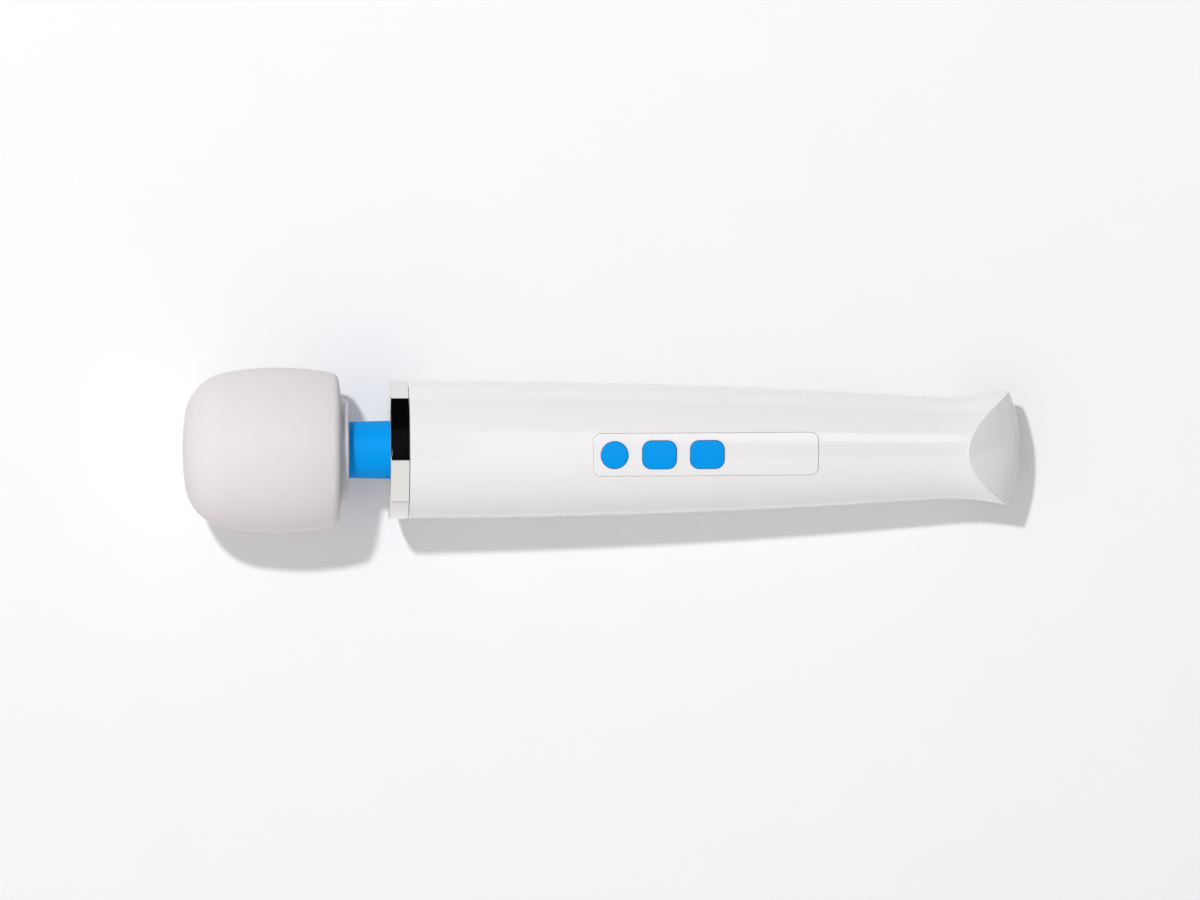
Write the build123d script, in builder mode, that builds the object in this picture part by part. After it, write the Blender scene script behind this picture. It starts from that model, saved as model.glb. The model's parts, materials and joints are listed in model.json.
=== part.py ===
"""A cordless handheld wand massager: a soft head on a flexible neck, and a tapered handle with three keys.

The wand lies along X, head towards -X and tail towards +X, with its keys facing +Z. The origin is on the
surface that the head rests on, below the middle of the wand. Sizes are in millimetres. Most places are
given as a station, the distance from the head's tip along the wand, and a height above the wand's axis.
"""

from build123d import *

import os
from math import asin, cos, degrees, radians, sin, sqrt

# Lengths along the wand, from the head's tip to the tail's end
head_length = 47.9
ring_proud = 1.7
neck_length = 12.1
collar_length = 5.9
grip_front_length = 54.6
panel_length = 67.7
tail_length = 62.7

# Head
head_radius = 24.8
shoulder_radius = 15.0
barrel_radius = 85.0
face_turn = 8.0  # degrees that the outline turns along the head's flat face
shoulder_turn = 71.5  # degrees that it turns round the shoulder
base_fall = 1.3  # how far the head's base leans back at its rim
rim_fillet = 2.8
cover_wall = 2.6
cup_wall = 1.8
cup_boss_length = 9.0
cup_web = 1.6  # thickness of the webs that join the bosses to the cup
base_plate_thickness = 2.2
head_screw_seat = 1.2  # how much of the base plate is left under the screws' heads
finger_hook = 1.3
spigot_length = 3.2
ring_outer_fillet = 0.7
ring_inner_fillet = 0.4

# Neck
neck_radius = 8.6
neck_wall = 1.65
neck_flange_radius = 11.5  # of the flange in the head
neck_flange_thickness = 1.9
ring_radius = 15.05
ring_thickness = 3.2
spring_wire_radius = 0.7
spring_turns = 8
spigot_wall = 1.4
lead_radius = 0.6
lead_spacing = 2.4

# Handle
collar_radius = 20.8
collar_wall = 1.8
collar_face = 1.6
collar_lip_fillet = 0.5
anchor_thickness = 2.5
anchor_spigot = 5.2
anchor_boss_radius = 1.9
shell_radius = 20.7
wall = 2.0
rib_thickness = 1.5
rib_height = 1.3
waist_radius = 15.35
waist_from_end = 21.7
flare_radius = 80.0
nose_sharpness = 0.0718  # how fast the tail's nose falls away above and below its ridge, per millimetre
nose_sweep = 46.0  # radius of the nose's ridge, seen from above
cap_lip = 0.9
cap_depth = 2.8
skirt_wall = 1.5
hook_height = 1.4
hook_thickness = 1.4

# Keys and the panel round them
panel_width = 12.8
panel_corner = 2.3
panel_proud = 0.25
panel_depth = 1.1
panel_edge_fillet = 0.25
key_proud = 0.8
key_travel = 0.5
key_flange = 0.9
key_flange_thickness = 1.0
key_edge_fillet = 0.35
round_key_radius = 4.05
square_key_length = 10.2
square_key_width = 8.4
square_key_corner = 2.7
round_key_offset = 6.35
up_key_offset = 19.8
down_key_offset = 34.15

# Electronics
battery_radius = 9.2
battery_length = 65.0
wrap_thickness = 0.3
cell_cap_height = 1.4
battery_lead_in = 3.5  # how far the cell starts ahead of the panel
frame_thickness = 1.7
board_thickness = 1.2
board_lead_in = 2.0  # how far the board starts ahead of the cell
board_run_on = 1.5  # how far it runs on past the cell
board_post_height = 2.0
switch_side = 6.0
switch_height = 2.2
plunger_radius = 1.6
plunger_rise = 0.7
socket_bore_radius = 1.28
socket_bore_length = 9.5
socket_nose_radius = 3.0
socket_recess = 0.8
socket_body_radius = 4.6
seal_thickness = 1.1

# Motor
motor_radius = 11.5
motor_length = 22.0
motor_can_wall = 1.0
motor_start = 15.0
shaft_radius = 1.15
weight_clearance = 1.5  # between the weight's rim and the motor's
weight_length = 5.8
boot_wall = 1.35
boot_lip = 1.2
carrier_wall = 1.6
bush_radius = 3.0
bush_step = 0.6  # how much smaller the rear bush is
nose_length = 1.4  # how far the front bush's housing stands out of the can
magnet_thickness = 1.6
magnet_gap = 6.0
air_gap = 0.5
slots = 5
bell_thickness = 1.8
bell_plug = 1.2
terminal_offset = 7.0

# Screws and their bosses
case_screw_radius = 1.1
case_head_radius = 2.1
case_head_height = 1.5
case_boss_radius = 2.6
case_well_radius = 3.4
small_screw_radius = 0.9
small_head_radius = 1.6
small_head_height = 0.9
small_boss_radius = 1.9

# Gaps between pieces
fit_gap = 0.1
key_gap = 0.15
panel_gap = 0.08
seam = 0.25
running_gap = 0.02

# Stations
ring_face = head_length + ring_proud
ring_back = ring_face - ring_thickness
collar_front = ring_face + neck_length
shell_front = collar_front + collar_length
panel_start = shell_front + grip_front_length
panel_end = panel_start + panel_length
tail_end = panel_end + tail_length
waist = tail_end - waist_from_end
cover_base = ring_back - 1.1
flange_back = ring_back - neck_flange_thickness - seam / 5
base_plate_front = flange_back - base_plate_thickness
collar_inside = collar_front + collar_face
anchor_front = collar_inside + neck_flange_thickness + seam / 5
rib_start = anchor_front + 0.2
anchor_plate = rib_start + rib_thickness + fit_gap
anchor_back = anchor_plate + anchor_thickness

# The head's outline is three arcs, each tangent to the next
crown_radius = (
    head_radius
    - shoulder_radius * (sin(radians(face_turn + shoulder_turn)) - sin(radians(face_turn)))
    - barrel_radius * (1 - sin(radians(face_turn + shoulder_turn)))
) / sin(radians(face_turn))
shoulder_end = (
    crown_radius * (1 - cos(radians(face_turn)))
    + shoulder_radius * (cos(radians(face_turn)) - cos(radians(face_turn + shoulder_turn)))
)
widest = shoulder_end + barrel_radius * cos(radians(face_turn + shoulder_turn))

# The handle's outline is one long arc that narrows to the waist, and a second that flares to the tail
narrowing = shell_radius - waist_radius
grip_arc = ((waist - shell_front) ** 2 + narrowing**2) / (2 * narrowing) - flare_radius
grip_turn = degrees(asin((waist - shell_front) / (grip_arc + flare_radius)))
flare_start = shell_front + grip_arc * sin(radians(grip_turn))
flare_turn = degrees(asin((waist_from_end + 1) / flare_radius))

tip = Vector(-tail_end / 2, 0, head_radius)
LONG_AXIS = Axis(tip, (1, 0, 0))
SIDE = Plane(origin=tip, x_dir=(1, 0, 0), z_dir=(0, -1, 0))
NOSE_AXIS = Axis(tip + Vector(tail_end - nose_sweep, 0, 0), (0, 0, 1))
FROM_LOW = (Align.CENTER, Align.CENTER, Align.MIN)
FROM_HIGH = (Align.CENTER, Align.CENTER, Align.MAX)


def across(station, y=0.0, height=0.0):
    """The plane square to the wand at a station. It faces the tail, with local x along Y and local y up."""
    return Plane(origin=tip + Vector(station, y, height), x_dir=(0, 1, 0), z_dir=(1, 0, 0))


def level(height, station=0.0, y=0.0):
    """The level plane at a height above the axis, with local x along the wand."""
    return Plane(origin=tip + Vector(station, y, height), x_dir=(1, 0, 0), z_dir=(0, 0, 1))


def barrel_at(station, inset=0.0):
    """The head's radius behind its shoulder."""
    reach = barrel_radius - inset
    return head_radius - barrel_radius + sqrt(reach**2 - (station - widest) ** 2)


def handle_at(station, inset=0.0):
    """The handle's radius."""
    if station <= flare_start:
        reach = grip_arc - inset
        return shell_radius - grip_arc + sqrt(reach**2 - (station - shell_front) ** 2)
    reach = flare_radius + inset
    return waist_radius + flare_radius - sqrt(reach**2 - (station - waist) ** 2)


def turn(*points, mode=Mode.ADD):
    """Revolves a closed section about the wand's axis. Its points are (station, radius)."""
    with BuildSketch(SIDE) as section:
        with BuildLine():
            Polyline(*points, close=True)
        make_face()
    revolve(section.sketch.faces(), axis=LONG_AXIS, mode=mode)


def turn_tube(start, end, outer, inner=0.0, mode=Mode.ADD):
    """Revolves a plain tube, or a rod where inner is 0."""
    turn((start, inner), (end, inner), (end, outer), (start, outer), mode=mode)


def turn_head(inset, base, fall=0.0, rounding=0.0, mode=Mode.ADD):
    """Revolves the head's form, inset evenly, as far as its base, whose rim leans back by fall."""
    reach = barrel_radius - inset
    barrel_turn = 90 - face_turn - shoulder_turn + degrees(asin((base - fall - widest) / reach))
    with BuildSketch(SIDE) as section:
        with BuildLine():
            face = JernArc((inset, 0), (0, 1), crown_radius - inset, -face_turn)
            shoulder = JernArc(face @ 1, face % 1, shoulder_radius - inset, -shoulder_turn)
            barrel = JernArc(shoulder @ 1, shoulder % 1, reach, -barrel_turn)
            Polyline(barrel @ 1, (base, 0), face @ 0)
        make_face()
        if rounding:
            fillet(section.vertices().sort_by(Axis.X)[-2], rounding)
    revolve(section.sketch.faces(), axis=LONG_AXIS, mode=mode)


def turn_handle(inset, mode=Mode.ADD):
    """Revolves the handle's form, inset evenly. It runs on past the tail's end."""
    with BuildSketch(SIDE) as section:
        with BuildLine():
            grip = JernArc((shell_front, shell_radius - inset), (1, 0), grip_arc - inset, -grip_turn)
            flare = JernArc(grip @ 1, grip % 1, flare_radius + inset, grip_turn + flare_turn)
            Polyline(flare @ 1, ((flare @ 1).X, 0), (shell_front, 0), grip @ 0)
        make_face()
    revolve(section.sketch.faces(), axis=LONG_AXIS, mode=mode)


def swing_nose(inset, closing_station):
    """Subtracts what lies between the tail's nose, inset along the wand, and a station."""
    reach = handle_at(tail_end) + 3
    fall = nose_sharpness * reach**2
    end = tail_end - inset
    with BuildSketch(SIDE) as section:
        with BuildLine():
            Bezier((end - fall, reach), (end + fall, 0), (end - fall, -reach))
            Polyline(
                (end - fall, -reach),
                (closing_station, -reach),
                (closing_station, reach),
                (end - fall, reach),
            )
        make_face()
    for swing in (90, -90):
        revolve(section.sketch.faces(), axis=NOSE_AXIS, revolution_arc=swing, mode=Mode.SUBTRACT)


def trim_tail(inset):
    """Cuts away what stands beyond the tail's nose."""
    swing_nose(inset, tail_end + 8)


def hollow_tail(inset):
    """Cuts away what stands ahead of the tail's nose."""
    split(bisect_by=across(tail_end - nose_sweep), keep=Keep.TOP)
    swing_nose(inset, tail_end - nose_sweep)


def screws(places, shank_radius, shank_length, cap_radius, cap_height):
    """Cross-head screws. Each place's z axis points the way its screw is driven."""
    slot_length = 1.3 * cap_radius
    slot_width = 0.3 * cap_radius
    slot_depth = 0.6 * cap_height
    with BuildPart() as group:
        with Locations(*places):
            Cylinder(shank_radius, shank_length, align=FROM_LOW)
            Cylinder(cap_radius, cap_height, align=FROM_HIGH)
        with Locations(*places):
            with Locations((0, 0, -cap_height)):
                Box(slot_length, slot_width, slot_depth, align=FROM_LOW, mode=Mode.SUBTRACT)
                Box(slot_width, slot_length, slot_depth, align=FROM_LOW, mode=Mode.SUBTRACT)
    return group.part


def turned_over(plane):
    """The same place, facing the other way."""
    return Plane(plane.location * Location((0, 0, 0), (180, 0, 0)))


def wire(radius, corner, *points):
    """A round wire along straight runs joined by tangent arcs. Its points are (station, y, height)."""
    with BuildPart() as run:
        with BuildLine() as path:
            FilletPolyline(*[tip + Vector(*p) for p in points], radius=corner)
        with BuildSketch(Plane(origin=path.line @ 0, z_dir=path.line % 0)):
            Circle(radius)
        sweep()
    return run.part


def save(part, name):
    """Labels a finished piece and writes it as one STEP file."""
    part.label = name
    export_step(part, f"parts/{name}.step")


# ------------------------------------------------------------------ head

cup_inset = cover_wall + fit_gap
cavity_inset = cup_inset + cup_wall
boss_circle = barrel_at(base_plate_front, cavity_inset) - 2.5
head_boss_places = [
    across(base_plate_front, boss_circle * cos(a), boss_circle * sin(a))
    for a in map(radians, (90, 210, 330))
]
cup_boss_places = [place.offset(-fit_gap / 2) for place in head_boss_places]
spigot_radius = neck_radius - neck_wall - 3 * spring_wire_radius
spigot_bore = spigot_radius - spigot_wall
carrier_bore = motor_radius + boot_wall + fit_gap
carrier_radius = carrier_bore + carrier_wall
ring_screw_circle = (neck_flange_radius + ring_radius) / 2 + 0.1
ring_screw_angles = (30, 150, 270)
boot_start = motor_start - boot_lip
hook_start = boot_start - fit_gap - finger_hook


def make_head_cover():
    """The soft silicone cover, a thick skin that wraps round the head's base."""
    with BuildPart() as cover:
        turn_head(0, head_length, base_fall, rim_fillet)
        turn_head(cover_wall, cover_base, mode=Mode.SUBTRACT)
        turn_tube(cover_base - 1, head_length + 1, ring_radius + key_gap, mode=Mode.SUBTRACT)
    return cover.part


def make_head_cup():
    """The rigid dome under the cover, with bosses for the base plate's screws."""
    with BuildPart() as bosses:
        with Locations(*cup_boss_places):
            Cylinder(small_boss_radius, cup_boss_length, align=FROM_HIGH)
        with Locations(across(base_plate_front - fit_gap / 2)):
            with PolarLocations(boss_circle + small_boss_radius, 3, start_angle=90):
                Box(
                    2 * small_boss_radius,
                    cup_web,
                    cup_boss_length,
                    align=(Align.CENTER, Align.CENTER, Align.MAX),
                )
        turn_head(cavity_inset - cup_wall / 2, cover_base, mode=Mode.INTERSECT)
    with BuildPart() as cup:
        turn_head(cup_inset, cover_base - fit_gap)
        turn_head(cavity_inset, cover_base, mode=Mode.SUBTRACT)
        add(bosses.part)
        with Locations(*cup_boss_places):
            Cylinder(
                small_screw_radius + running_gap,
                cup_boss_length - 2,
                align=FROM_HIGH,
                mode=Mode.SUBTRACT,
            )
    return cup.part


def make_head_base():
    """The base plate, with three hooked fingers for the motor and a spigot for the neck's spring."""
    edge = barrel_at(flange_back, cavity_inset) - fit_gap
    with BuildPart() as base:
        turn_tube(base_plate_front, flange_back, edge)
        turn_tube(flange_back, ring_back, ring_radius, neck_flange_radius + fit_gap)
        turn_tube(hook_start, base_plate_front, carrier_radius, carrier_bore)
        turn_tube(hook_start, boot_start - fit_gap, carrier_radius, motor_radius)
        turn_tube(flange_back, ring_back + spigot_length, spigot_radius)
        turn_tube(base_plate_front, ring_back + spigot_length, spigot_bore, mode=Mode.SUBTRACT)
        with Locations(*head_boss_places):
            Cylinder(small_screw_radius + fit_gap, 6, align=FROM_LOW, mode=Mode.SUBTRACT)
            with Locations((0, 0, head_screw_seat)):
                Cylinder(small_boss_radius, 6, align=FROM_LOW, mode=Mode.SUBTRACT)
        with Locations(across(base_plate_front)):
            with PolarLocations(ring_screw_circle, 3, start_angle=ring_screw_angles[0]):
                Cylinder(small_screw_radius + fit_gap, 9, align=FROM_LOW, mode=Mode.SUBTRACT)
                Cylinder(small_boss_radius, 2 * motor_length, align=FROM_HIGH, mode=Mode.SUBTRACT)
    return base.part


def make_neck_ring():
    """The pale disc that shows behind the head and clamps the neck's flange to the base plate."""
    with BuildPart() as ring:
        turn_tube(ring_back, ring_face, ring_radius, neck_radius + key_gap)
        fillet(ring.edges().group_by(Axis.X)[-1].sort_by(SortBy.RADIUS)[-1], ring_outer_fillet)
        fillet(ring.edges().group_by(Axis.X)[-1].sort_by(SortBy.RADIUS)[0], ring_inner_fillet)
        with Locations(across(ring_back)):
            with PolarLocations(ring_screw_circle, 3, start_angle=ring_screw_angles[0]):
                Cylinder(small_screw_radius + running_gap, 2.4, align=FROM_LOW, mode=Mode.SUBTRACT)
    return ring.part


def make_head_screws():
    """Three screws that hold the base plate to the cup."""
    places = [turned_over(place.offset(head_screw_seat)) for place in head_boss_places]
    return screws(places, small_screw_radius, 7.5, small_head_radius, small_head_height)


def make_ring_screws():
    """Three screws that clamp the neck's ring to the base plate."""
    places = [
        across(base_plate_front, ring_screw_circle * cos(a), ring_screw_circle * sin(a))
        for a in map(radians, ring_screw_angles)
    ]
    return screws(places, small_screw_radius, 6.2, small_head_radius, small_head_height)


# ------------------------------------------------------------------ motor

motor_end = motor_start + motor_length
bell_end = motor_end + bell_thickness
bell_plug_start = motor_end - bell_plug
rear_bush_radius = bush_radius - bush_step
can_bore = motor_radius - motor_can_wall
magnet_outer = can_bore - fit_gap
magnet_inner = magnet_outer - magnet_thickness
core_radius = magnet_inner - air_gap
core_start = motor_start + 4.5
core_end = motor_end - 5.5
slot_floor = 3.2  # the radius that the core's slots reach down to
slot_width = 2.6
coil_width = 2.3
coil_overhang = 0.7
commutator_start = motor_end - 4.4
commutator_end = motor_end - 1.5
commutator_radius = 2.8
weight_radius = motor_radius - weight_clearance
weight_hub_radius = 3.4
weight_start = motor_start - 2.2 - weight_length


def make_motor_can():
    """The motor's steel can, closed in front round its bush."""
    with BuildPart() as can:
        turn_tube(motor_start, motor_end, motor_radius)
        fillet(can.edges().filter_by(GeomType.CIRCLE).sort_by(Axis.X)[0], 0.8)
        turn_tube(motor_start - nose_length, motor_start, bush_radius + 0.8)
        turn_tube(motor_start + motor_can_wall, motor_end, can_bore, mode=Mode.SUBTRACT)
        turn_tube(motor_start - nose_length, motor_start + 2, bush_radius, mode=Mode.SUBTRACT)
    return can.part


def make_motor_bell():
    """The plastic end bell that carries the brushes' terminals and the rear bush."""
    with BuildPart() as bell:
        turn_tube(motor_end, bell_end, motor_radius)
        turn_tube(bell_plug_start, motor_end, can_bore - fit_gap)
        turn_tube(bell_plug_start, bell_end, rear_bush_radius, mode=Mode.SUBTRACT)
        with Locations(*[level(0, bell_plug_start, side * terminal_offset) for side in (1, -1)]):
            Box(8, 0.8, 3.2, mode=Mode.SUBTRACT)
    return bell.part


def make_motor_terminals():
    """Two brass tabs that pass through the bell."""
    with BuildPart() as tabs:
        with Locations(*[level(0, motor_end + 0.3, side * terminal_offset) for side in (1, -1)]):
            Box(6, 0.6, 3.0)
    return tabs.part


def make_motor_bushes():
    """The sintered bushes that the shaft turns in."""
    with BuildPart() as bushes:
        bore = shaft_radius + running_gap
        turn_tube(motor_start - nose_length, motor_start + 0.9, bush_radius - running_gap, bore)
        turn_tube(motor_end - 0.4, bell_end, rear_bush_radius - running_gap, bore)
    return bushes.part


def make_motor_magnets():
    """Two curved magnets inside the can."""
    with BuildPart() as magnets:
        turn_tube(motor_start + 3, motor_end - 4, magnet_outer, magnet_inner)
        with Locations(across(motor_start)):
            Box(4 * motor_radius, magnet_gap, 4 * motor_length, mode=Mode.SUBTRACT)
    return magnets.part


def make_motor_shaft():
    """The steel shaft, with a worked flat for the weight."""
    with BuildPart() as shaft:
        turn_tube(weight_start - 0.2, bell_end - 0.2, shaft_radius)
        chamfer(shaft.edges().group_by(Axis.X)[0], 0.2)
    return shaft.part


def make_armature_core():
    """The slotted iron core that turns with the shaft."""
    with BuildPart() as core:
        turn_tube(core_start, core_end, core_radius, shaft_radius)
        with Locations(across(core_start)):
            with PolarLocations((slot_floor + core_radius + 1) / 2, slots):
                Box(core_radius + 1 - slot_floor, slot_width, 4 * motor_length, mode=Mode.SUBTRACT)
    return core.part


def make_armature_windings():
    """The copper coils that fill the core's slots and stand out at both of its ends."""
    length = core_end - core_start + 2 * coil_overhang
    coil_floor = slot_floor + fit_gap
    coil_top = core_radius - 3 * fit_gap
    with BuildPart() as windings:
        with Locations(across(core_start - coil_overhang)):
            with PolarLocations((coil_floor + coil_top) / 2, slots):
                Box(coil_top - coil_floor, coil_width, length, align=FROM_LOW)
    return windings.part


def make_commutator():
    """The copper commutator behind the core, split into segments."""
    with BuildPart() as commutator:
        turn_tube(commutator_start, commutator_end, commutator_radius, shaft_radius)
        with Locations(across(commutator_start)):
            with PolarLocations(commutator_radius, slots):
                Box(0.8, 0.3, 8, mode=Mode.SUBTRACT)
    return commutator.part


def make_weight():
    """The half-round weight on the shaft's front end, which shakes the head as it turns."""
    end = weight_start + weight_length
    with BuildPart() as weight:
        turn_tube(weight_start, end, weight_radius)
        with Locations(across(weight_start, 0, 2.2)):
            Box(
                4 * weight_radius,
                2 * weight_radius,
                3 * weight_length,
                align=(Align.CENTER, Align.MIN, Align.CENTER),
                mode=Mode.SUBTRACT,
            )
        fillet(weight.edges().filter_by(Axis.X), 0.8)
        turn_tube(weight_start, end, weight_hub_radius)
        turn_tube(weight_start, end, shaft_radius, mode=Mode.SUBTRACT)
    return weight.part


def make_motor_boot():
    """The rubber boot between the motor and the fingers that hold it, with a lip at both ends."""
    with BuildPart() as boot:
        outer = motor_radius + boot_wall
        turn_tube(boot_start, bell_end, outer, motor_radius + fit_gap / 2)
        turn_tube(boot_start, motor_start - fit_gap / 2, outer, motor_radius - 3)
        turn_tube(bell_end + fit_gap / 2, base_plate_front - fit_gap / 2, motor_radius, motor_radius - 2)
        turn_tube(bell_end, bell_end + 1, outer, motor_radius - 1)
    return boot.part


# ------------------------------------------------------------------ neck

neck_bore = neck_radius - neck_wall


def make_neck_sleeve():
    """The blue silicone sleeve, with a flange at each end."""
    with BuildPart() as sleeve:
        turn(
            (flange_back, neck_bore),
            (flange_back, neck_flange_radius),
            (flange_back + neck_flange_thickness, neck_flange_radius),
            (flange_back + neck_flange_thickness, neck_radius),
            (collar_inside, neck_radius),
            (collar_inside, rear_flange_radius),
            (collar_inside + neck_flange_thickness, rear_flange_radius),
            (collar_inside + neck_flange_thickness, neck_bore),
        )
    return sleeve.part


def make_neck_spring():
    """The coil spring inside the sleeve, which carries the head."""
    mean = neck_bore - 2 * spring_wire_radius + 0.3
    start = flange_back + spring_wire_radius + 0.2
    length = anchor_front - spring_wire_radius - 0.2 - start
    with BuildPart() as spring:
        with BuildLine() as path:
            Helix(
                pitch=length / spring_turns,
                height=length,
                radius=mean,
                center=tip + Vector(start, 0, 0),
                direction=(1, 0, 0),
            )
        with BuildSketch(Plane(origin=path.line @ 0, z_dir=path.line % 0)):
            Circle(spring_wire_radius)
        sweep(is_frenet=True)
    return spring.part


def make_motor_leads():
    """The motor's two leads, through the neck to their connector in the handle."""
    leads = [
        wire(
            lead_radius,
            1.2,
            (bell_end + 0.4, side * 5.6, 0),
            (bell_end + 1.9, side * 5.6, 0),
            (bell_end + 1.9, side * lead_spacing / 2, 0),
            (connector_start, side * lead_spacing / 2, 0),
        )
        for side in (1, -1)
    ]
    return Compound(children=leads)


# ------------------------------------------------------------------ collar and neck anchor

spigot_outer = collar_radius - collar_wall - fit_gap
spigot_inner = spigot_outer - wall
anchor_radius = spigot_inner - fit_gap
rib_inner = spigot_inner - rib_height
anchor_circle = rib_inner - anchor_boss_radius - fit_gap
rear_flange_radius = anchor_circle - anchor_boss_radius - 2 * fit_gap
connector_start = anchor_back + 4
connector_length = 7.0


def make_collar():
    """The chromed collar, a cup whose flat face closes the handle round the neck."""
    with BuildPart() as collar:
        with BuildSketch(SIDE) as section:
            with BuildLine():
                Polyline(
                    (collar_front, collar_radius),
                    (shell_front - seam, collar_radius),
                    (shell_front - seam, collar_radius - collar_wall),
                    (collar_inside, collar_radius - collar_wall),
                    (collar_inside, neck_radius + key_gap),
                    (collar_front, neck_radius + key_gap),
                    close=True,
                )
            make_face()
            fillet(section.vertices().group_by(Axis.X)[0].sort_by(Axis.Y)[-1], collar_lip_fillet)
        revolve(axis=LONG_AXIS)
        with Locations(across(collar_inside)):
            with PolarLocations(anchor_circle, 3, start_angle=90):
                Cylinder(anchor_boss_radius, anchor_plate - fit_gap - collar_inside, align=FROM_LOW)
        with Locations(across(anchor_plate)):
            with PolarLocations(anchor_circle, 3, start_angle=90):
                Cylinder(small_screw_radius + running_gap, 4, align=FROM_HIGH, mode=Mode.SUBTRACT)
    return collar.part


def make_neck_anchor():
    """The plate behind the collar that clamps the neck's rear flange and seats the spring."""
    with BuildPart() as anchor:
        turn_tube(anchor_plate, anchor_back, anchor_radius)
        turn_tube(anchor_front, anchor_plate, rear_flange_radius)
        turn_tube(anchor_front - anchor_spigot, anchor_front, spigot_radius)
        turn_tube(anchor_front - anchor_spigot, anchor_back, spigot_bore, mode=Mode.SUBTRACT)
        with Locations(across(anchor_plate)):
            with PolarLocations(anchor_circle, 3, start_angle=90):
                Cylinder(small_screw_radius + fit_gap, 12, mode=Mode.SUBTRACT)
    return anchor.part


def make_anchor_screws():
    """Three screws that pull the collar to the neck anchor."""
    places = [
        turned_over(across(anchor_back, anchor_circle * cos(a), anchor_circle * sin(a)))
        for a in map(radians, (90, 210, 330))
    ]
    return screws(places, small_screw_radius, 5.6, small_head_radius, small_head_height)


# ------------------------------------------------------------------ inside the handle

battery_start = panel_start - battery_lead_in
battery_end = battery_start + battery_length
battery_height = -(handle_at(battery_end, wall) - 0.8 - battery_radius)
frame_low = battery_height + battery_radius + 1.2
frame_high = frame_low + frame_thickness
board_low = frame_high + board_post_height
board_high = board_low + board_thickness
board_start = battery_start - board_lead_in
board_end = battery_end + board_run_on
frame_start = board_start - 8.0
frame_end = board_end + 9.0
frame_half_width = 10.5
board_half_width = 9.5
saddle_stations = (battery_start + 10, battery_end - 10)
lead_spots = [(battery_start - 4.8, 4.4), (battery_end + 3.4, 4.4)]
frame_screw_spots = [(s, side * 7.6) for s in (frame_start + 3.6, frame_end - 3.6) for side in (1, -1)]
board_screw_spots = [(s, side * 7.0) for s in (board_start + 2.6, board_end - 2.6) for side in (1, -1)]
case_screw_spots = [
    (s, side * y) for s, y in ((shell_front + 17, 9.5), (panel_end + 14, 6.5)) for side in (1, -1)
]
case_screw_floor = -5.0
case_screw_length = 12.0


def make_battery_cell():
    """The lithium cell, in its own frame along the wand, with its raised cap at the front."""
    with BuildPart() as cell:
        with Locations(across(battery_start, 0, battery_height)):
            Cylinder(battery_radius - wrap_thickness, battery_length, align=FROM_LOW)
            Cylinder(3.4, cell_cap_height, align=FROM_HIGH)
        chamfer(cell.edges().group_by(Axis.X)[-1], 0.4)
    return cell.part


def make_battery_wrap():
    """The printed shrink sleeve round the cell."""
    with BuildPart() as wrap:
        with Locations(across(battery_start, 0, battery_height)):
            Cylinder(battery_radius, battery_length, align=FROM_LOW)
            Cylinder(battery_radius - wrap_thickness + running_gap, battery_length,
                     align=FROM_LOW, mode=Mode.SUBTRACT)
    return wrap.part


def make_battery_tabs():
    """The nickel strips on the cell's two ends."""
    with BuildPart() as tabs:
        with Locations(across(battery_start - cell_cap_height, 0, battery_height)):
            Box(5, 8, 0.2, align=FROM_HIGH)
        with Locations(across(battery_end, 0, battery_height)):
            Box(5, 8, 0.2, align=FROM_LOW)
    return tabs.part


def make_inner_frame():
    """The tray that carries the board over the battery, with a half saddle at each end of the cell."""
    with BuildPart() as frame:
        with BuildSketch(level(frame_low)):
            with Locations(((frame_start + frame_end) / 2, 0)):
                RectangleRounded(frame_end - frame_start, 2 * frame_half_width, 2)
        extrude(amount=frame_thickness)
        with Locations(*[level(frame_low, s) for s in saddle_stations]):
            Box(3, 2 * frame_half_width - 2, frame_low - battery_height - 2, align=FROM_HIGH)
        with Locations(across(battery_start - 4, 0, battery_height)):
            Cylinder(battery_radius + fit_gap, battery_length + 8, align=FROM_LOW, mode=Mode.SUBTRACT)
        with Locations(*[level(frame_high, s, y) for s, y in board_screw_spots]):
            Cylinder(1.8, board_post_height, align=FROM_LOW)
        with Locations(*[level(board_low, s, y) for s, y in board_screw_spots]):
            Cylinder(small_screw_radius + running_gap, 3.4, align=FROM_HIGH, mode=Mode.SUBTRACT)
        with Locations(*[level(frame_high, s, y) for s, y in frame_screw_spots]):
            Cylinder(small_screw_radius + fit_gap, 6, mode=Mode.SUBTRACT)
        with Locations(*[level(frame_high, s, y) for s, y in lead_spots]):
            Cylinder(2 * lead_radius, 6, mode=Mode.SUBTRACT)
    return frame.part


def make_control_board():
    """The circuit board."""
    with BuildPart() as board:
        with BuildSketch(level(board_low)):
            with Locations(((board_start + board_end) / 2, 0)):
                RectangleRounded(board_end - board_start, 2 * board_half_width, 1.5)
            with Locations(*board_screw_spots):
                Circle(small_screw_radius + fit_gap, mode=Mode.SUBTRACT)
        extrude(amount=board_thickness)
    return board.part


def make_board_chips():
    """The controller, the charger, the motor driver and its coil on the board's upper face."""
    places = (
        (panel_start + 44, 0, 7.0, 7.0, 1.0),
        (panel_start + 53, 4.6, 4.0, 4.0, 0.9),
        (panel_start + 53, -4.6, 5.0, 4.4, 1.4),
        (panel_start - 1.4, 0, 3.2, 2.6, 1.1),
    )
    with BuildPart() as chips:
        for station, y, length, width, height in places:
            with Locations(level(board_high, station, y)):
                Box(length, width, height, align=FROM_LOW)
    return chips.part


def make_indicator_lights():
    """Small lights on the board under the blank end of the panel."""
    with BuildPart() as lights:
        with Locations(*[level(board_high, panel_end - s, 0) for s in (7.0, 13.0)]):
            Box(3.2, 1.6, 0.8, align=FROM_LOW)
    return lights.part


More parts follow.
